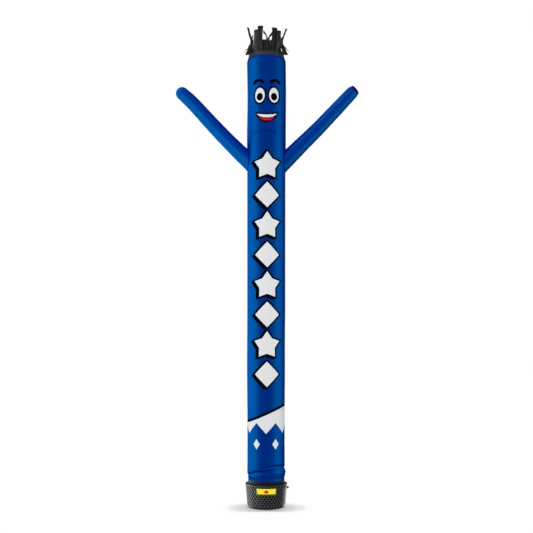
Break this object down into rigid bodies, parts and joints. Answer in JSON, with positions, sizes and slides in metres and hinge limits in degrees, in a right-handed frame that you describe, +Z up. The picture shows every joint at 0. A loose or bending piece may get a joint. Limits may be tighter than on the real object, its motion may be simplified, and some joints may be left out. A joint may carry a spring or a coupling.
{
  "type": "inflatable air dancer on a fan blower",
  "caption": "Tall inflated cloth tube with two raised arms, a printed front and strip hair, held upright on a round perforated fan blower that rests flat on the ground.",
  "frame": {"origin": "centre of the blower's flat underside, on the ground", "axes": "+Z up along the tube, -Y to the printed front, +X to the arm on the right as seen from the front"},
  "size_m": [2.2891, 0.525, 5.9679],
  "materials": {
    "cloth_blue": "satin",
    "cloth_black": "matte",
    "strap_black": "matte",
    "steel_black": "satin",
    "drum_black": "satin",
    "label_yellow": "satin",
    "plastic_black": "satin"
  },
  "bodies": {
    "root": {"body_tube": "cloth_blue", "arm_left": "cloth_blue", "arm_right": "cloth_blue", "hair": "cloth_black", "cuff": "strap_black", "blower_collar": "steel_black", "blower_rim": "steel_black", "blower_drum": "drum_black", "blower_base": "steel_black", "label_plate": "label_yellow", "side_knob": "plastic_black", "cord_gland": "plastic_black"}
  },
  "joints": []
}
